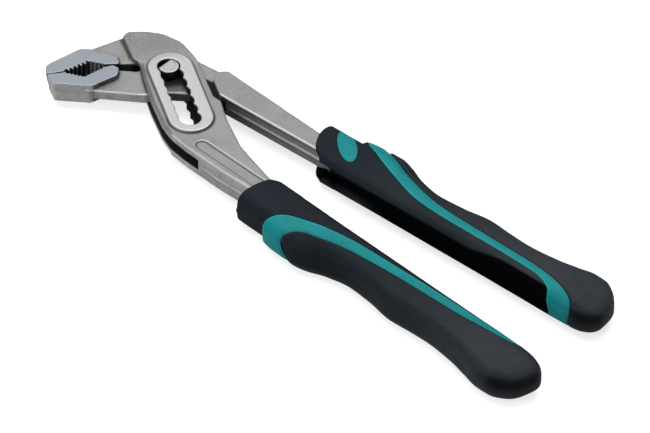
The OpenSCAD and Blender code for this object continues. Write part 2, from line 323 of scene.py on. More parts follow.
def new_material(name):
    material = bpy.data.materials.new(name)
    material.use_nodes = True
    net = Net(material.node_tree)
    net.output = net.node("ShaderNodeOutputMaterial")
    shader = net.node("ShaderNodeBsdfPrincipled")
    net.put(net.output.inputs[0], shader.outputs[0])
    place = net.node("ShaderNodeTexCoord").outputs["Object"]
    net.mm = net.mapping(place, scale=(1000, 1000, 1000))
    return material, net, shader


def steel_material():
    material, net, shader = new_material("forged_steel")
    grain = net.noise(wave=0.30, detail=4, rough=0.75)
    mottle = net.noise(wave=1.3, detail=4, rough=0.6)
    broad = net.noise(wave=11.0, rough=0.5)
    pits = net.ramp(net.cells(wave=1.15), span=(0.10, 0.22), to=(1, 0))
    pits = net.times(pits, net.ramp(net.noise(wave=2.4, detail=2), span=(0.52, 0.62)))
    # the forged skin
    skin = net.blend(net.ramp(mottle, span=(0.30, 0.70)),
                     low=(0.232, 0.235, 0.238), high=(0.286, 0.289, 0.293))
    skin = net.blend(net.ramp(grain, span=(0.30, 0.72), to=(0, 0.75)), skin,
                     high=(0.405, 0.41, 0.415))
    skin = net.blend(net.ramp(grain, span=(0.44, 0.30), to=(0, 0.55)), skin,
                     high=(0.13, 0.13, 0.128))
    skin = net.blend(net.ramp(broad, span=(0.35, 0.65), to=(0, 0.30)), skin,
                     high=(0.225, 0.222, 0.215))
    skin = net.blend(net.times(pits, gain=0.65), skin, high=(0.06, 0.055, 0.05))
    # painted light: steep walls are mixed lighter
    skin = net.blend(net.attr("wall", gain=0.80), skin, high=(0.52, 0.52, 0.52))
    # ground faces: fine straight scratches, cooler and lighter
    lines = net.streaks(scale=(0.25, 7.0, 3.0), turn=28)
    fine = net.noise(wave=0.5, rough=0.6)
    ground = net.blend(net.ramp(lines, span=(0.30, 0.70)),
                       low=(0.235, 0.262, 0.295), high=(0.285, 0.316, 0.352))
    ground = net.blend(net.ramp(fine, span=(0.35, 0.75), to=(0, 0.35)), ground,
                       high=(0.33, 0.365, 0.40))
    ground = net.blend(net.times(pits, gain=0.30), ground, high=(0.16, 0.16, 0.16))
    colour = net.blend(net.attr("ground"), skin, ground)
    boss = net.blend(net.ramp(net.streaks(scale=(6.0, 0.2, 3.0), turn=15), span=(0.30, 0.72)),
                     low=(0.42, 0.425, 0.435), high=(0.52, 0.52, 0.53))
    boss = net.blend(net.times(pits, gain=0.25), boss, high=(0.3, 0.3, 0.3))
    colour = net.blend(net.attr("boss"), colour, boss)
    rust = net.times(net.attr("rust"),
                     net.ramp(net.noise(wave=0.9, detail=4, rough=0.65), span=(0.42, 0.62)))
    colour = net.blend(net.times(rust, gain=0.6), colour, high=(0.13, 0.065, 0.035))
    # edges rubbed bright, with a painted highlight above the parting ridge; painted shade in
    # corners, steps, hollows and gaps, also from ambient occlusion; painted highlight lines on top
    colour = net.blend(net.attr("edge", gain=0.66), colour, high=(0.68, 0.67, 0.65))
    colour = net.blend(net.attr("cavity", gain=0.85), colour, high=(0.025, 0.022, 0.020))
    colour = net.blend(net.attr("dirt"), colour, high=(0.008, 0.0075, 0.007))
    colour = net.blend(net.openness(distance=3.0, span=(0.30, 0.80)),
                       low=(0.012, 0.011, 0.010), high=colour)
    colour = net.blend(net.attr("gleam", gain=0.75), colour, high=(0.92, 0.91, 0.89))
    smooth = net.math("MAXIMUM", net.attr("ground"), net.attr("boss"))
    rough = net.node("ShaderNodeMix", {
        0: smooth,
        2: net.ramp(mottle, span=(0.3, 0.7), to=(0.46, 0.60)),
        3: net.ramp(lines, span=(0.3, 0.7), to=(0.34, 0.46))})
    height = net.math("ADD", net.times(grain, gain=1.0), net.times(mottle, gain=0.5))
    height = net.math("SUBTRACT", height, net.times(pits, gain=0.9))
    height = net.times(height, net.ramp(smooth, span=(0, 1), to=(1, 0.12)))
    normal = net.bump(height, distance=0.12, strength=0.7)
    scratches = net.times(net.times(lines, smooth), gain=1.0)
    net.fill(shader, {
        "Base Color": colour,
        "Metallic": net.ramp(net.attr("dirt"), span=(0.2, 0.9), to=(0.78, 0)),
        "Roughness": rough.outputs[0],
        "Specular IOR Level": net.ramp(net.attr("dirt"), span=(0, 1), to=(0.5, 0.05)),
        "Normal": net.bump(scratches, distance=0.02, strength=0.6, under=normal)})
    return material


def pin_material():
    material, net, shader = new_material("ground_steel")
    lines = net.streaks(scale=(5.0, 0.3, 2.0), turn=-35)
    blotch = net.noise(wave=1.6, rough=0.6)
    colour = net.blend(net.ramp(lines, span=(0.3, 0.7)),
                       low=(0.34, 0.345, 0.355), high=(0.48, 0.485, 0.495))
    colour = net.blend(net.ramp(blotch, span=(0.52, 0.68), to=(0, 0.6)), colour,
                       high=(0.25, 0.25, 0.25))
    # painted shade: the pin's sides are mixed near black
    colour = net.blend(net.attr("side", gain=0.92), colour, high=(0.02, 0.02, 0.02))
    net.fill(shader, {
        "Base Color": colour,
        "Metallic": 0.85,
        "Roughness": net.ramp(blotch, span=(0.3, 0.7), to=(0.30, 0.5)),
        "Normal": net.bump(net.math("ADD", lines, blotch), distance=0.03, strength=0.7)})
    return material


def plastic_material(name, low, high, rough, grain, bump, specular, scuff):
    def lighter(gain, add):
        return tuple(min(1, gain * channel + add) for channel in high)

    material, net, shader = new_material(name)
    broad = net.noise(wave=14.0, rough=0.5)
    fine = net.noise(wave=grain, rough=0.6)
    cell = net.cells(wave=grain * 1.8)
    lit = net.math("ADD", net.attr("tone", gain=0.85),
                   net.ramp(broad, span=(0.3, 0.7), to=(0, 0.15)))
    colour = net.blend(lit, low, high)
    colour = net.blend(net.ramp(fine, span=(0.35, 0.75), to=(0, 0.34)), colour,
                       lighter(gain=1.35, add=0.004))
    streak = net.streaks(scale=(0.10, 1.5, 1.0), turn=44, detail=5, rough=0.65)
    scuffed = net.times(net.ramp(streak, span=(0.60, 0.74)),
                        net.ramp(net.noise(wave=7.0, detail=2), span=(0.5, 0.66), to=(0, scuff)))
    colour = net.blend(scuffed, colour, lighter(gain=1.9, add=0.02))
    # painted shade where ambient occlusion finds a gap
    colour = net.blend(net.openness(distance=2.0, span=(0.25, 0.70)),
                       low=(0.002, 0.002, 0.002), high=colour)
    # painted sheen: lighter where marked
    colour = net.blend(net.attr("haze"), colour, high=(0.060, 0.063, 0.070))
    # near black on the hidden inner side; on the outer side, painted shade where marked
    colour = net.blend(net.attr("inside"), colour, high=(0.001, 0.001, 0.001))
    height = net.math("ADD", fine, net.times(cell, gain=0.7))
    waves = net.bump(net.noise(wave=5.0, detail=2), distance=0.10, strength=0.5)
    net.fill(shader, {
        "Base Color": colour,
        "Roughness": net.ramp(net.noise(wave=3.0, detail=4, rough=0.6), span=(0.25, 0.75),
                              to=(rough - 0.05, rough + 0.07)),
        "Specular IOR Level": net.times(
            net.ramp(net.attr("inside"), span=(0, 1), to=(specular, 0)),
            net.ramp(net.attr("tone"), span=(0, 1), to=(0.55, 1.15))),
        "Normal": net.bump(height, distance=bump, strength=0.7, under=waves)})
    return material


MATERIALS = {
    "forged_steel": steel_material(),
    "ground_steel": pin_material(),
    "black_grip": plastic_material(
        "black_grip", low=(0.0050, 0.0105, 0.0160), high=(0.0150, 0.0200, 0.0270),
        rough=0.52, grain=0.30, bump=0.06, specular=0.17, scuff=0.45),
    "teal_core": plastic_material(
        "teal_core", low=(0.0003, 0.125, 0.134), high=(0.0035, 0.330, 0.342),
        rough=0.42, grain=0.45, bump=0.02, specular=0.16, scuff=0.20)}


# ------------------------------------------------------------------ the two forgings
def survey(mesh):
    """Points, plan, x, y, height off the middle plane and its size, and |normal z| (level)."""
    points = get_points(mesh)
    z = points[:, 2] - MID_Z
    level = np.abs(get_normals(mesh)[:, 2])
    return points, points[:, :2], points[:, 0], points[:, 1], z, np.abs(z), level


def finish_steel(mesh, keep, ridge, ground, boss, rust, dirt, bright, dark, seed, shine,
                 ink_drop, patchy):
    """Softens, adds the parting ridge and forged skin, and stores what the material needs.

    keep limits the softening; ink is a line of painted shade ink_drop below the ridge.
    """
    points, edges = get_points(mesh), get_edges(mesh)
    for _ in range(9):
        points = points + 0.5 * keep[:, None] * (neighbour_mean(points, edges) - points)
    set_points(mesh, points)
    normals = get_normals(mesh)
    z = points[:, 2] - MID_Z
    wall = np.abs(normals[:, 2]) < 0.45
    flat = points * [1, 1, 0]
    run = 0.8 + 0.3 * wobble(flat, 7.0, seed + 3)
    line = z + 0.15 * wobble(flat, 11.0, seed + 4)
    # a painted highlight along the upper side of the parting ridge, used in edge and gleam
    thin = ridge * bell(line - 0.22, 0.26) * wall
    # the ridge, a low swell of the wall round it, and the skin's unevenness
    points = points + normals * (0.42 * (ridge * bell(line, 0.38) * wall) * run)[:, None]
    points = points + normals * (0.20 * ridge * fade(np.abs(z), 4.4, 0.6) * wall)[:, None]
    uneven = 0.06 * wobble(points, 5.5, seed) + 0.03 * wobble(points, 1.6, seed + 1)
    points = points + normals * (uneven * (1 - np.clip(ground + boss, 0, 1)) * keep)[:, None]
    set_points(mesh, points)
    normals = get_normals(mesh)
    curve = np.einsum("ij,ij->i", points - neighbour_mean(points, edges), normals)
    for _ in range(2):
        curve = neighbour_mean(curve, edges)[:, 0]
    # convex edges rubbed bright; concave corners get painted shade
    edge = np.clip((curve - 0.008) / 0.03, 0, 1)
    cavity = np.clip((-curve - 0.010) / 0.030, 0, 1)
    # painted shade: a dark line below the ridge, patchy where asked
    ink = wall * ridge * bell(line + ink_drop, 0.35)
    if patchy:
        ink = ink * fade(wobble(points * [1, 1, 0], 5.0, seed + 11), -0.15, 0.25) * 1.6
    scale = 0.72 + 0.5 * wobble(points, 2.2, seed + 7) + 0.35 * wobble(points, 8.0, seed + 8)
    # Stored for the material: rubbed edges with the ridge's painted highlight, painted highlights,
    # painted shade in creases, painted light on steep walls, ground and boss finish, rust, and the
    # darkest painted shade
    add_attributes(
        mesh,
        edge=np.clip(edge * (0.75 + 0.5 * wobble(points, 3.0, seed + 6)) + 0.5 * thin, 0, 1),
        gleam=np.clip(shine * thin * run + bright, 0, 1),
        cavity=np.clip(cavity + 0.45 * ink + dark, 0, 1),
        wall=fade(np.abs(normals[:, 2]), 0.75, 0.45) * (1 - np.clip(dirt, 0, 1)) * scale,
        ground=ground, boss=boss, rust=np.clip(rust, 0, 1), dirt=np.clip(dirt, 0, 0.97))
    # the jaws' noses are drawn back towards their lower face
    points = get_points(mesh)
    points[:, 0] += (1.0 * fade(points[:, 2] - MID_Z, 2.5, -4.0)
                     * fade(points[:, 0], -39.5, -44.0))
    set_points(mesh, points)


# painted shade of the closed mouth, painted on the teeth themselves
def mouth_dirt(x, rise):
    return (0.74 + 0.20 * fade(x, -32.5, -29.5)) * fade(rise, 4.0, 3.7)


def make_outer():
    mesh = voxelled(cad_copy("outer_half"))
    points, plan, x, y, z, rise, level = survey(mesh)
    along, across = plan @ SLOT_AXIS, plan @ SLOT_SIDE
    oval = np.hypot(along - np.clip(along, 0.5, 29.5), across - 0.5)  # from the slot's middle line
    jaw = fade(x, -17.2, -17.9)
    top = fade(rise, 4.0, 4.3)
    # distance outside the pressed panel's outline
    offset = plan - PANEL_START
    run = np.clip(offset @ PANEL_AXIS, 0, PANEL_LENGTH)[:, None]
    panel = np.linalg.norm(offset - run * PANEL_AXIS, axis=1) - PANEL_RADIUS
    panel_side = fade(offset @ PANEL_SIDE, -0.8, 1.6)
    mouth = line_distance(plan, UPPER_MOUTH)
    bevel = line_distance(plan, OUTER_BEVEL)
    foot = line_distance(plan, OUTER_FOOT)
    boss = fade(rise, 5.50, 5.70)
    held = np.maximum.reduce([
        0.62 * jaw,
        0.50 * fade(rise, 4.85, 5.1),
        0.85 * top * bell(panel, 1.0),
        0.93 * jaw * (np.abs(mouth) < 2.0),
        0.65 * ((oval < 6.6) & (rise < 5.9))])
    ridge = fade(y, -49.5, -51.5) + fade(x, -12.5, -14.0) * fade(x, -30, -27) * (y > 8)
    hollow = (rise < np.where(z < 0, 2.14, 2.34)) & (y > -49.2) & (x > -13.5) & (x < 40)
    groove = (oval < 6.2) & (rise < 5.62)
    # painted shade: the mouth, inside the box's hollow, down the slot, in the passage and beside
    # the bevel
    dirt = np.maximum.reduce([
        mouth_dirt(x, rise) * jaw * (np.abs(mouth) < 2.2) * (mouth < 0.4),
        0.93 * hollow,
        0.97 * groove * fade(rise, 5.6, 5.0),
        # painted shade in the passage between jaw and slot
        0.86 * fade(x, -19.5, -16.5) * fade(x, -8.5, -11.0) * fade(y, 1.8, 3.2)
        * fade(y, 6.6, 5.0) * fade(level, 0.75, 0.5) * fade(rise, 3.6, 2.8),
        0.78 * (np.abs(bevel) < 0.8) * (level < 0.5) * fade(rise, 3.9, 3.2) * fade(y, -17, -9)])
    # painted light: a light strip along the foot, painted highlights on the panel's edge (stronger
    # on its upper side) and on the foot's edge, and lighter low walls
    foot_strip = (np.abs(foot) < 1.5) * fade(z, -2.1, -2.4) * fade(y, -14, -20) * fade(y, -50, -46)
    bright = ((0.16 + 0.30 * panel_side) * top * bell(panel - 0.30, 0.28)
              + 0.50 * bell(foot - 0.35, 0.30) * fade(z, 4.0, 4.4) * fade(y, -30, -38)
              + foot_strip * (0.34 + 0.25 * wobble(points, 1.8, 31))
              + 0.10 * (level < 0.5) * (y < -49) * (foot < 1.5))
    # painted shade: inside the panel's edge, round the slot, along the heel, step and rim lines, a
    # patch on the arch and part of the boss
    dark = ((0.40 + 0.40 * panel_side) * top * bell(panel + 0.30, 0.30)
            + (0.6 + 0.4 * (along > 27)) * bell(oval - 8.6, 0.40) * fade(rise, 5.4, 5.0) * top
            + 0.95 * bell(line_distance(plan, OUTER_HEEL), 0.55) * fade(rise, 4.0, 3.7)
            * (x > -20.5)
            + 0.75 * bell(line_distance(plan, OUTER_STEP) + 0.5, 0.75) * (rise < 4.6)
            * fade(rise, 3.0, 3.1)
            + 0.75 * bell(line_distance(plan, OUTER_RIM), 0.40) * fade(rise, 3.6, 4.6)
            + spots(plan, OUTER_SHADE_PATCH) * top + 0.11 * boss * fade(along, -2.5, -7.0))
    finish_steel(mesh, keep=1 - held, ridge=ridge,
                 ground=fade(rise, 3.80, 3.98) * jaw * (rise < 4.4), boss=boss,
                 rust=spots(plan, OUTER_RUST), dirt=dirt, bright=bright, dark=dark, seed=1,
                 shine=0.25, ink_drop=0.1, patchy=True)
    add_piece("outer_half_forging", mesh, "outer", "forged_steel", "outer_half")


def make_inner():
    mesh = voxelled(cad_copy("inner_half"))
    points, plan, x, y, z, rise, level = survey(mesh)
    along, across = plan @ SLOT_AXIS, plan @ SLOT_SIDE
    jaw = fade(x, -17.0, -17.8) * fade(rise, 2.2, 2.5)
    mouth = line_distance(plan, LOWER_MOUTH)
    at_mouth = (x < -17) * (np.abs(mouth) < 1.7)
    flat = fade(rise, 3.80, 3.98) * jaw * (rise < 4.4)
    wall = (level < 0.4) & (x > 19)
    web = rise < 2.35
    in_slot = web * (np.abs(across) < 6)
    heel_side = line_distance(plan, INNER_HEEL)
    heel = np.abs(heel_side)
    grip_axis = direction(UPPER_GRIP["angle"])
    from_grip = plan - UPPER_GRIP["at"]
    grip_across = from_grip @ np.array([-grip_axis[1], grip_axis[0]])
    dirt = np.maximum.reduce([
        mouth_dirt(x, rise) * at_mouth * (mouth > -0.4) * jaw,
        # painted shade on the shank's walls, between the ridge's painted highlight and the edges
        wall * (1.22 - 0.45 * fade(x, 22, 50)) * (
            0.78 * bell(z - 3.1, 0.55) + 0.42 * bell(z - 1.7, 0.8) + 0.36 * fade(z, -0.2, -0.8)),
        # painted shade on the walls under the upper grip
        0.97 * fade(from_grip @ grip_axis, 9.0, 11.5) * (grip_across < 0) * (level < 0.6),
        # painted shade at the heel's step
        0.62 * fade(x, -28.0, -26.6) * (heel < 1.3) * (level < 0.7) * (rise > 2.1) * (rise < 4.0)
        * (0.8 + 0.3 * wobble(points, 2.0, 21)),
        # painted shade on the web beside the slot, then inside it
        0.97 * web * (across > 7.5) * (across < 16)
        * fade(across - 11.4 - 0.8 * (along - 5.2), 0.4, -0.4) * (along < 22),
        0.97 * in_slot * (along > 0)
        * (0.56 * fade(along, 11.2, 10.2) + 0.44 * fade(along, 9.4, 5.8)),
        0.60 * in_slot * (level < 0.5) * (along > 6)])
    # a painted highlight along the web's lower edge, which lifts the painted shade there
    low_edge = 0.85 * fade(z, 1.3, 1.9) * web * bell(line_distance(plan, INNER_UNDER), 0.38)
    dirt = dirt * (1 - 0.8 * (low_edge > 0.3) * (level > 0.4))
    shank = line_distance(plan, INNER_SHANK)
    nose = (x < -27.5) * (level < 0.6) * (y < -2)
    # painted highlights along the shank's edge, and painted light on the lower jaw's nose wall,
    # stronger low down and at its corner
    bright = (0.95 * bell(shank - 0.25, 0.28) * (z > 3.6) * (x > 18.6)
              + nose * (0.07 + 0.16 * fade(z, 1.2, -1.8) * (0.9 + 0.5 * wobble(points, 2.6, 17))
                        + 0.26 * bell(x + 42.4, 0.7))
              + low_edge)
    finish_steel(mesh, keep=1 - np.maximum(0.62 * jaw, 0.93 * at_mouth * jaw),
                 ridge=fade(x, 21, 24), ground=flat, boss=np.zeros(len(x)),
                 rust=spots(plan, INNER_RUST) * (1 - 0.85 * flat), dirt=dirt, bright=bright,
                 # painted shade along the heel
                 dark=0.55 * bell(heel - 0.3, 0.5) * (rise < 2.6) * (heel_side < 0.6), seed=5,
                 shine=1.0, ink_drop=1.0, patchy=False)
    add_piece("inner_half_forging", mesh, "inner", "forged_steel", "inner_half")


# ------------------------------------------------------------------ the pin
PIN_FLAT, PIN_TURN = 1.9, 138  # the flat's distance from the axis; its direction, degrees
PIN_ROUND = 2.1  # half height of the full round part
PIN_SIDES = 160
PIN_END = ((0.03, 1.4), (0, 0.30), (0.06, 0.12), (0.22, 0))  # depth below the end, inset


def make_pin():
    """A full round in the middle, D-shaped at both ends, with a small chamfer."""
    low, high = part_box("pivot_pin")
    radius, top = (high.x - low.x) * HALF_MM, (high.z - low.z) * HALF_MM
    angles = np.arange(PIN_SIDES) * 2 * math.pi / PIN_SIDES
    cos, sin = math.cos(math.radians(PIN_TURN)), math.sin(math.radians(PIN_TURN))

    def ring(height, inset=0, cut=True):
        x, y = (radius - inset) * np.cos(angles), (radius - inset) * np.sin(angles)
        if cut:
            x = np.minimum(x, PIN_FLAT - inset * 0.7)
        z = np.full(PIN_SIDES, MID_Z + height)
        return np.stack([x * cos - y * sin, x * sin + y * cos, z], 1)

    end = [(top - depth, inset) for depth, inset in PIN_END] + [(PIN_ROUND + 0.05, 0)]
    rings = [ring(-height, inset) for height, inset in end]
    rings += [ring(-PIN_ROUND, cut=False), ring(PIN_ROUND, cut=False)]
    rings += [ring(height, inset) for height, inset in reversed(end)]
    points = np.vstack(rings)
    faces = []
    for j in range(len(rings) - 1):
        for i in range(PIN_SIDES):
            a, b = j * PIN_SIDES + i, j * PIN_SIDES + (i + 1) % PIN_SIDES
            faces.append((a, b, b + PIN_SIDES, a + PIN_SIDES))
    faces.append(tuple(range(PIN_SIDES - 1, -1, -1)))
    faces.append(tuple(range(len(points) - PIN_SIDES, len(points))))
    mesh = bpy.data.meshes.new("pin")
    mesh.from_pydata(points.tolist(), [], faces)
    # the pin's sides, down in the forgings, are marked for painted shade
    side = np.zeros(len(points))
    side[3 * PIN_SIDES:-3 * PIN_SIDES] = 1
    add_attributes(mesh, side=side)
    add_piece("pivot_pin_ground", mesh, "pin", "ground_steel", "pivot_pin")
    mesh.set_sharp_from_angle(angle=math.radians(40))


# ------------------------------------------------------------------ the grips
GRIP_POWER = 3.6  # superellipse exponent of the section
# x, lowest y, highest y, half height
STATIONS = np.array([
    [-4, -9.1, 9.8, 6.5], [0, -9.1, 9.8, 6.5], [1.5, -9.3, 10.1, 7.0], [16.3, -9.3, 10.0, 7.0],
    [17.2, -9.3, 12.3, 7.0], [24, -9.3, 13.1, 7.1], [32, -9.3, 13.2, 7.1],
    [38.5, -9.3, 11.5, 7.0], [46, -9.3, 8.4, 6.9], [57, -9.3, 6.4, 6.8],
    [68, -9.3, 7.0, 6.9], [79.5, -9.3, 8.5, 7.0], [90, -9.3, 7.6, 7.0],
    [99, -9.4, 7.1, 7.0], [112, -9.6, 8.1, 7.1], [121, -9.8, 9.8, 7.2],
    [129, -9.8, 11.3, 7.2], [135, -9.5, 11.1, 7.0],
    [139.6, -8.4, 9.4, 6.2], [143.0, -6.2, 6.6, 4.8], [144.3, -3.8, 3.6, 2.8],
    [144.7, -0.1, 0.1, 0.1]])
# Where cover meets band and band meets pad, on the face with the dot (+z) and the plain one: x, y
COVER_EDGE_DOT = [
    [16.4, 16], [17.0, 12.5], [18.0, 9.4], [23.7, 6.9], [31.4, 3.7], [42, 0], [48.5, -2],
    [55, -3.1], [65, -3.9], [80, -4.2], [98, -4.4], [109, -4.9], [114, -5.5], [118, -6.8],
    [121.2, -8.9], [122, -14]]
COVER_EDGE_PLAIN = [
    [16.6, 16], [17.2, 11.5], [18.1, 8.8], [19.6, 6.0], [22.8, 3.6], [28.5, 1.3], [34, -0.7],
    [42.5, -2.7], [52, -4.2], [66, -5.1], [80, -6.0], [96, -6.9], [110, -7.6], [119, -8.4],
    [122.4, -9.6], [123, -14]]
PAD_EDGE_DOT = [
    [26, 16], [26.4, 12.6], [28.6, 10.9], [34.3, 8.5], [42, 5.3], [49.3, 2.8], [57, 1.0],
    [66, -0.1], [82, -0.8], [101, -1.3], [112, -2.0], [120, -3.3], [126, -5.0], [130.6, -7.4],
    [132.6, -9.6], [133, -14]]
PAD_EDGE_PLAIN = [
    [27.4, 16], [27.6, 12.6], [28.4, 10.8], [30.6, 8.3], [34.2, 6.0], [39.6, 4.3], [46, 2.3],
    [53, 0.8], [61, -0.1], [72, -1.2], [90, -2.3], [105, -3.3], [119, -4.9], [127, -6.3],
    [131, -8.2], [132.8, -14]]
# Distances at which triangles are cut: cover edge, pad edge, collar, notch, dot
CUT_LEVELS = (
    (-0.5, -0.3, -0.15, 0, 0.15, 0.3),
    (-0.9, -0.6, -0.3, -0.15, 0, 0.12, 0.25, 0.45, 0.75, 0.9, 1.1, 1.4, 1.6),
    (0, 0.2, 0.5, 0.9),
    (0, 0.15, 0.35),
    (-0.25, -0.12, 0, 0.12, 0.25))


def monotone(x, knots, values):
    """Cubic interpolation without overshoot."""
    width = np.diff(knots)
    rate = np.diff(values) / width
    slope = np.zeros(len(knots))
    slope[0], slope[-1] = rate[0], rate[-1]
    for i in range(1, len(knots) - 1):
        if rate[i - 1] * rate[i] > 0:
            before, after = 2 * width[i] + width[i - 1], width[i] + 2 * width[i - 1]
            slope[i] = (before + after) / (before / rate[i - 1] + after / rate[i])
    k = np.clip(np.searchsorted(knots, x) - 1, 0, len(width) - 1)
    t = (x - knots[k]) / width[k]
    t2, t3 = t * t, t * t * t
    return ((2 * t3 - 3 * t2 + 1) * values[k] + (t3 - 2 * t2 + t) * width[k] * slope[k]
            + (-2 * t3 + 3 * t2) * values[k + 1] + (t3 - t2) * width[k] * slope[k + 1])


def split(points, tris, fields, column, level):
    """Cuts triangles where a field equals level. Fields ride along on the vertices."""
    value = fields[:, column] - level
    value = np.where(np.abs(value) < 2e-3, 2e-3, value)
    above = value[tris] > 0
    count = above.sum(1)
    crossed = (count == 1) | (count == 2)
    if not crossed.any():
        return points, tris, fields
    cut, above = tris[crossed], above[crossed]
    lone = np.argmax(above == (above.sum(1) == 1)[:, None], 1)
    rows = np.arange(len(cut))
    a, b, c = (cut[rows, (lone + i) % 3] for i in range(3))
    ends = np.sort(np.vstack([np.stack([a, b], 1), np.stack([a, c], 1)]), 1)
    ends, index = np.unique(ends, axis=0, return_inverse=True)
    index = index.ravel() + len(points)
    start, end = ends.T
    t = (value[start] / (value[start] - value[end]))[:, None]
    on_ab, on_ac = index[:len(cut)], index[len(cut):]
    pieces = [np.stack(corners, 1) for corners in
              ((a, on_ab, on_ac), (on_ab, b, c), (on_ab, c, on_ac))]
    return (np.vstack([points, points[start] + t * (points[end] - points[start])]),
            np.vstack([tris[~crossed], *pieces]),
            np.vstack([fields, fields[start] + t * (fields[end] - fields[start])]))


def superellipse(angles):
    return [np.sign(side) * np.abs(side) ** (2 / GRIP_POWER)
            for side in (np.cos(angles), np.sin(angles))]


def grip_blank(tip):
    """The whole grip's surface as points, triangles and outward normals."""
    # even spacing round the section, close spacing where the profile steps
    fine = np.linspace(0, 2 * math.pi, 4001)
    across, up = superellipse(fine)
    steps = np.hypot(np.diff(across * 10), np.diff(up * 7))
    arc = np.concatenate([[0], np.cumsum(steps)])
    count = 120
    across, up = superellipse(np.interp(np.arange(count) / count * arc[-1], arc, fine))
    x = np.unique(np.round(np.concatenate([
        np.arange(-3, 145, 0.8), np.arange(15.6, 18.4, 0.15),
        np.arange(32.5, 36.0, 0.25), np.arange(-0.6, 2.4, 0.2), np.arange(134, 144.3, 0.35),
        np.array([144.3, 144.45, 144.6, 144.7])]), 3))
    x = x[x <= 144.7]
    low, high, half = (monotone(x, STATIONS[:, 0], STATIONS[:, k])[:, None] for k in (1, 2, 3))
    y = (low + high) / 2 + (high - low) / 2 * across[None]
    points = np.stack([np.repeat(x[:, None], count, 1), y, half * up[None]], 2).reshape(-1, 3)
    points[:, 0] += np.clip((points[:, 0] - 122) / 20, 0, 1) * (tip - 0.16 * points[:, 1])
    j, i = np.meshgrid(np.arange(len(x) - 1), np.arange(count), indexing="ij")
    a, b = (j * count + i).ravel(), (j * count + (i + 1) % count).ravel()
    c, d = a + count, b + count
    pole, last, i = len(points), (len(x) - 1) * count, np.arange(count)
    points = np.vstack([points, [[144.72 + tip, 0, 0]]])
    tris = np.vstack([np.stack(corners, 1) for corners in (
        (a, d, b), (a, c, d), (last + (i + 1) % count, last + i, np.full(count, pole)))])
    facing = np.cross(points[tris[:, 1]] - points[tris[:, 0]],
                      points[tris[:, 2]] - points[tris[:, 0]])
    normals = np.stack([sum(np.bincount(tris[:, q], facing[:, k], len(points))
                            for q in range(3)) for k in range(3)], 1)
    normals /= np.maximum(np.linalg.norm(normals, axis=1), 1e-9)[:, None]
    if np.einsum("ij,ij->i", normals, points * [0, 1, 1]).mean() < 0:
        return points, tris[:, ::-1], -normals
    return points, tris, normals


def grip_fields(grip, points):
    """Signed distances, + towards +y from both band edges and +x from the collar's,
    + outside the notch and + inside the dot."""
    x, y, z = points.T
    plan = points[:, :2]
    dot_face = fade(z, -3.0, 3.0)

    def edge(dot_side, plain_side):
        return (dot_face * line_distance(plan, spline(dot_side))
                + (1 - dot_face) * line_distance(plan, spline(plain_side)))

    pad = edge(PAD_EDGE_DOT, PAD_EDGE_PLAIN)
    if not grip.upper:
        pad = pad - 3.2 * fade(z, -3.5, 4.0) * fade(y, 6.0, 10.5) * fade(x, 46, 34)
    sweep = grip.sweep
    collar = line_distance(plan, spline([
        [1.6, 14], [0.6, 9.0], [0.2, 6.0], [sweep * 0.12, 2.2], [sweep * 0.34, -1.6],
        [sweep * 0.68, -5.6], [sweep + 1.6, -9.3], [sweep + 3.0, -20]]))
    notch = np.maximum(np.maximum(x - 18.4, np.abs(z) - 4.5), y + 3.6)
    from_dot = plan - [13.6, 3.0]
    cos, sin = direction(-40)
    along = from_dot[:, 0] * cos + from_dot[:, 1] * sin
    across = -from_dot[:, 0] * sin + from_dot[:, 1] * cos
    ratio = np.hypot(along / grip.dot, across / 3.5)
    dot = (1 - ratio) * np.hypot(along, across) / np.maximum(ratio, 0.05)
    dot = np.where(ratio < 0.05, 3.5, dot)
    dot = np.where(z < 0.5, -5, dot)
    return np.stack([edge(COVER_EDGE_DOT, COVER_EDGE_PLAIN), pad, collar, notch, dot], 1)


def rounded(distance, radius):
    """Depth of a rounded-over edge at a distance inside it."""
    t = np.clip(1 - distance / radius, 0, 1)
    return -radius * (1 - np.sqrt(1 - t * t))


def shell(grip, keep, outer, inner, tone, painted_black_shade=0.0, haze=0.0):
    """A closed solid from the kept triangles and each vertex's place on the inner side."""
    def place(local):
        x, y, z = (local[used] * [1, grip.flip, grip.flip]).T
        return np.stack([grip.at[0] + x * grip.cos - y * grip.sin,
                         grip.at[1] + x * grip.sin + y * grip.cos, z + MID_Z], 1)

    def picked(values):
        return (np.zeros(len(outer)) + values)[used]

    used, tris = np.unique(grip.tris[keep].ravel(), return_inverse=True)
    tris = tris.reshape(-1, 3)
    count = len(used)
    sides = np.vstack([tris[:, [0, 1]], tris[:, [1, 2]], tris[:, [2, 0]]])
    _, first, uses = np.unique(np.sort(sides, 1), axis=0, return_index=True, return_counts=True)
    walls = [(b, a, a + count, b + count) for a, b in sides[first[uses == 1]].tolist()]
    mesh = bpy.data.meshes.new("shell")
    mesh.from_pydata(np.vstack([place(outer), place(inner)]).tolist(), [],
                     tris.tolist() + (tris[:, ::-1] + count).tolist() + walls)
    mesh.validate()
    add_attributes(
        mesh,
        # the outer side's painted shade and painted sheen; the inner side is hidden
        inside=np.concatenate([picked(painted_black_shade), np.ones(count)]),
        haze=np.concatenate([np.clip(picked(haze), 0, 0.9), np.zeros(count)]),
        tone=np.tile(np.clip(picked(tone), 0, 1), 2))
    return mesh


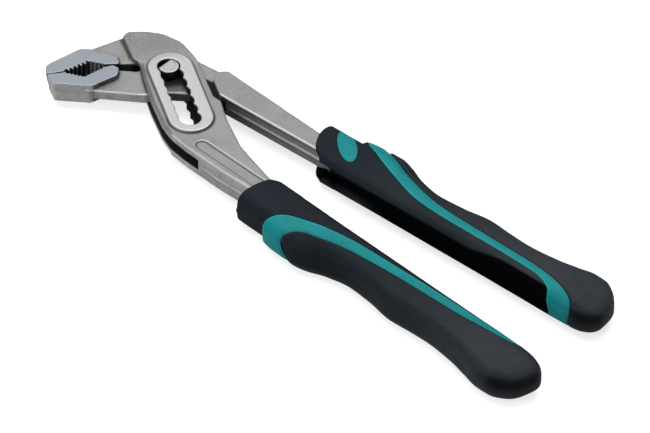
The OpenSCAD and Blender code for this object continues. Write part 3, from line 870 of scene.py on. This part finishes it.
def shade_grip(grip):
    """Tone, painted sheen and painted end shade, shared by the cover and the pad; tone grows
    lighter towards the end.
    """
    x, y, z = grip.points.T
    normal_x, normal_y, normal_z = grip.normals.T
    world_z, world_nz = grip.flip * z, grip.flip * normal_z
    world_ny = normal_x * grip.sin + grip.flip * normal_y * grip.cos
    # painted shade: a dark band across the end's side facing -y
    grip.dusk = (0.72 * bell(world_z - 2.0, 4.2) * fade(x, 124, 138)
                 * fade(-world_ny, 0.05, 0.95) * fade(np.abs(world_nz), 0.90, 0.35))
    # painted sheen: lighter along the lower rim on faces turned down, where the floor's light comes
    # back, and on the grip's end face
    haze = ((0.74 + 0.18 * wobble(grip.points, 12.0, 9) + 0.12 * fade(x, 118, 132))
            * bell(world_z + 4.9, 1.7) * fade(world_nz, 0.4, 0.0) * fade(x, 18, 24))
    haze = haze + 0.42 * fade(normal_x, 0.35, 0.85) * fade(x, 132, 140)
    grip.tone = fade(x, 45, 135) * (0.9 + 0.3 * wobble(grip.points, 16.0, 3))
    if grip.upper:
        # painted sheen on the upper grip's top faces and its end
        haze = haze + 0.17 * fade(x, 55, 72) * fade(x, 128, 112) * fade(world_nz, 0.6, 0.9)
        haze = (haze + 0.24 * fade(x, 126, 138) * fade(normal_x, 0.05, 0.45)
                * fade(world_nz, -0.2, 0.3))
        grip.tone = grip.tone + 0.32 * bell(x - 46, 16)
    grip.haze = haze


def make_cover(grip):
    points, normals = grip.points, grip.normals
    x, y, z = points.T
    cover, _, collar, notch, dot = grip.fields.T
    in_cover, _, in_collar, in_notch, in_dot = grip.middles.T
    keep = (in_cover < 0) & (in_collar > 0) & (in_notch > 0) & (in_dot < 0)
    lift = rounded(-cover, 0.30) + rounded(collar, 0.9) + rounded(notch, 0.35)
    lift = lift + rounded(-dot, 0.15) + 0.05 * np.sin(x * 0.09)
    if grip.upper:
        lift = lift - 0.55 * bell(x - 34.2, 0.55) * bell(z - 1.1, 1.8) * (y < -8)
        # painted shade: the upper grip's side towards the lower grip is painted black, less near
        # the collar
        turn = 0.80 - 0.46 * fade(x, 82, 100)
        painted_black_shade = ((0.93 - 0.62 * bell(x - 27, 9) * fade(z, 1.5, -2.5))
                * fade(-normals[:, 1], turn, turn + 0.17) * fade(z, -5.4, -3.8) * (x > 15))
        # painted sheen, held back where painted shade lies, and a lighter patch near the collar's
        # side
        haze = grip.haze * (1 - np.clip(painted_black_shade, 0, 1)) * 0.35
        haze = haze + (0.30 * bell(x - 28, 9) * fade(z, 0.5, -3.0)
                       * fade(-normals[:, 1], 0.6, 0.9))
    else:
        lift = lift + 0.7 * bell(x - 0.6, 0.7) * bell(z - 0.2, 1.1) * (y > 8)
        painted_black_shade = 0.0
        haze = grip.haze * 0.6
    # painted shade along the collar's front rim
    painted_black_shade = np.maximum(painted_black_shade, 0.75 * fade(collar, 0.55, 0.10) * (x < 16))
    # the collar is thick, the rest a thin skin
    middle_y = np.interp(x, STATIONS[:, 0], (STATIONS[:, 1] + STATIONS[:, 2]) / 2)
    centre = np.stack([x, middle_y, np.zeros(len(x))], 1)
    deep = centre + 0.42 * (points - centre)
    channel = (y < -8.0) & (np.abs(z) < 5.2)
    deep[channel] = np.stack([x[channel], np.full(channel.sum(), -3.0), z[channel]], 1)
    depth = fade(x, 17.0, 14.6)[:, None]
    mesh = shell(grip, keep, points + normals * lift[:, None],
                 deep * depth + (points - normals * 1.5) * (1 - depth), grip.tone, painted_black_shade, haze)
    add_piece(grip.name + "_grip_cover_shell", mesh, grip.body, "black_grip",
              grip.name + "_grip_cover")


def make_core(grip):
    """The band and the dot, both part of the hard core."""
    points, normals = grip.points, grip.normals
    x, y, _ = points.T
    cover, pad, _, _, dot = grip.fields.T
    in_cover, in_pad, _, _, in_dot = grip.middles.T
    near = fade(x, 60, 40)
    lift = (-0.02 + rounded(cover, 0.18) + rounded(-pad, 0.15)
            - (0.18 + 0.30 * near) * fade(pad, -1.6 - 1.4 * near, -0.2) * fade(y, 3.0, 7.0))
    # tone: a painted highlight along the edge by the cover, painted shade beside the raised pad
    tone = (0.42 + 0.10 * wobble(points, 9.0, 5) + 0.34 * bell(cover - 0.3, 0.45)
            - 0.36 * bell(pad + 0.3, 1.0) * (0.35 + 0.65 * fade(x, 60, 34)))
    band = shell(grip, (in_cover > 0) & (in_pad < 0), points + normals * lift[:, None],
                 points - normals * 1.6, tone)
    lift = 0.03 + rounded(dot, 0.14)
    spot = shell(grip, (in_dot > 0) & (in_cover < 0), points + normals * lift[:, None],
                 points - normals * 1.2, tone=0.46)
    work = bmesh.new()
    work.from_mesh(band)
    work.from_mesh(spot)
    mesh = bpy.data.meshes.new("core")
    work.to_mesh(mesh)
    work.free()
    add_piece(grip.name + "_grip_core_band", mesh, grip.body, "teal_core",
              grip.name + "_grip_core")


def make_pad(grip):
    points, normals = grip.points, grip.normals
    x, y, z = points.T
    pad = grip.fields[:, 1]
    lift = rounded(pad, 0.75) + 0.10
    slit = 0.0
    if not grip.upper:
        lift = lift + (0.45 * bell(np.maximum(pad, 0), 7.0) * fade(y, 2.0, 8.0)
                       * fade(x, 75, 45))
        # a short slit beside the band, painted black inside as painted shade
        slit = (fade(pad, 0.85, 1.05) * fade(pad, 1.65, 1.45) * fade(z, -3.0, -2.4)
                * fade(z, 0.1, -0.5) * (y > 8))
        lift = lift - 0.9 * slit
    # a painted highlight along the pad's front edge, and painted shade on the pad's front middle
    rim = 0.55 * bell(pad - 0.5, 0.8) * fade(x, 70, 40)
    shade = 0.38 * bell(x - 39, 11) * bell(y - 5.5, 4.5) * (1 - np.minimum(rim, 1))
    mesh = shell(grip, grip.middles[:, 1] > 0, points + normals * lift[:, None],
                 points - normals * 1.7, grip.tone + rim,
                 np.maximum(np.maximum(slit, shade), grip.dusk), grip.haze)
    add_piece(grip.name + "_grip_pad_shell", mesh, grip.body, "black_grip",
              grip.name + "_grip_pad")


def make_grip(spec):
    grip = SimpleNamespace(**spec)
    grip.upper = grip.name == "upper"
    grip.cos, grip.sin = direction(grip.angle)
    points, tris, normals = grip_blank(grip.tip)
    fields = np.hstack([grip_fields(grip, points), normals])
    for column, levels in enumerate(CUT_LEVELS):
        for level in levels:
            points, tris, fields = split(points, tris, fields, column, level)
    normals = fields[:, 5:]
    grip.points, grip.tris, grip.fields = points, tris, fields[:, :5]
    grip.normals = normals / np.maximum(np.linalg.norm(normals, axis=1), 1e-9)[:, None]
    grip.middles = grip.fields[tris].mean(1)
    shade_grip(grip)
    make_cover(grip)
    make_core(grip)
    make_pad(grip)


make_outer()
make_inner()
make_pin()
make_grip(LOWER_GRIP)
make_grip(UPPER_GRIP)

# ------------------------------------------------------------------ floor, light, camera, metres
TARGET = (0.05675, -0.0779, MID_Z * 0.001)
FLOOR_HALF, FLOOR_GAP = 4.0, 0.0002
VIEW_WIDTH, VIEW_DISTANCE = 0.23595, 1.5
VIEW_RISE = 0.646  # sine of the camera's elevation


def floor_material():
    material, net, shader = new_material("floor_paper")
    camera_ray = net.node("ShaderNodeLightPath").outputs["Is Camera Ray"]
    paper = net.blend(net.noise(wave=60.0), low=(0.64, 0.64, 0.64), high=(0.66, 0.66, 0.66))
    net.fill(shader, {
        "Base Color": net.blend(camera_ray, low=(0.60, 0.60, 0.605), high=paper),
        "Roughness": 0.9,
        "Specular IOR Level": 0.1,
        "Emission Color": (1, 1, 1),
        "Emission Strength": net.times(camera_ray, gain=0.72)})
    # clear from below, so that the underside can be seen
    below = net.node("ShaderNodeNewGeometry").outputs["Backfacing"]
    clear = net.node("ShaderNodeBsdfTransparent").outputs[0]
    pick = net.node("ShaderNodeMixShader", {0: below, 1: shader.outputs[0], 2: clear})
    net.put(net.output.inputs[0], pick.outputs[0])
    return material


def make_floor():
    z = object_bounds()[0][2] - FLOOR_GAP
    material = floor_material()
    mesh = bpy.data.meshes.new("floor")
    corners = [(x * FLOOR_HALF, y * FLOOR_HALF, z) for x, y in ((-1, -1), (1, -1), (1, 1), (-1, 1))]
    mesh.from_pydata(corners, [], [(0, 1, 2, 3)])
    floor = bpy.data.objects.new("floor", mesh)
    SCENE.collection.objects.link(floor)
    mesh.materials.append(material)


def aim(name, data, at):
    """Adds a light or camera that looks at the target."""
    item = bpy.data.objects.new(name, data)
    item.location = at
    item.rotation_euler = (Vector(TARGET) - Vector(at)).to_track_quat("-Z", "Y").to_euler()
    SCENE.collection.objects.link(item)
    return item


def area(name, at, size, power):
    light = bpy.data.lights.new(name, "AREA")
    light.shape = "RECTANGLE"
    light.size, light.size_y = size
    light.energy = power
    aim(name, light, at)


def make_world():
    """A soft sky, brightest almost overhead."""
    world = bpy.data.worlds.new("studio")
    SCENE.world = world
    world.use_nodes = True
    net = Net(world.node_tree)
    output = net.node("ShaderNodeOutputWorld")
    view = net.node("ShaderNodeTexCoord").outputs["Generated"]
    facing = net.node("ShaderNodeVectorMath", {0: view, 1: (-0.12, 0.16, 0.95)},
                      operation="DOT_PRODUCT").outputs["Value"]
    sky = net.ramp(facing, span=(0.02, 0.85), to=(0.03, 0.60))
    light = net.node("ShaderNodeBackground", {"Color": sky, "Strength": 0.8})
    net.put(output.inputs[0], light.outputs[0])


def make_camera():
    camera = bpy.data.cameras.new("camera")
    camera.type = "ORTHO"
    camera.ortho_scale = VIEW_WIDTH
    camera.clip_start, camera.clip_end = 0.01, 20
    rise = math.asin(VIEW_RISE)
    back = Vector((0, -math.cos(rise), math.sin(rise)))
    SCENE.camera = aim("camera", camera, Vector(TARGET) + VIEW_DISTANCE * back)
    SCENE.view_settings.view_transform = "Standard"


make_floor()
area("top_soft", at=(0.05, 0.25, 1.1), size=(1.3, 1.0), power=9)
area("back_soft", at=(0.05, 1.0, 0.75), size=(1.4, 0.7), power=2.2)
area("left_fill", at=(-0.9, -0.7, 0.42), size=(0.7, 0.5), power=4.5)
make_world()
make_camera()
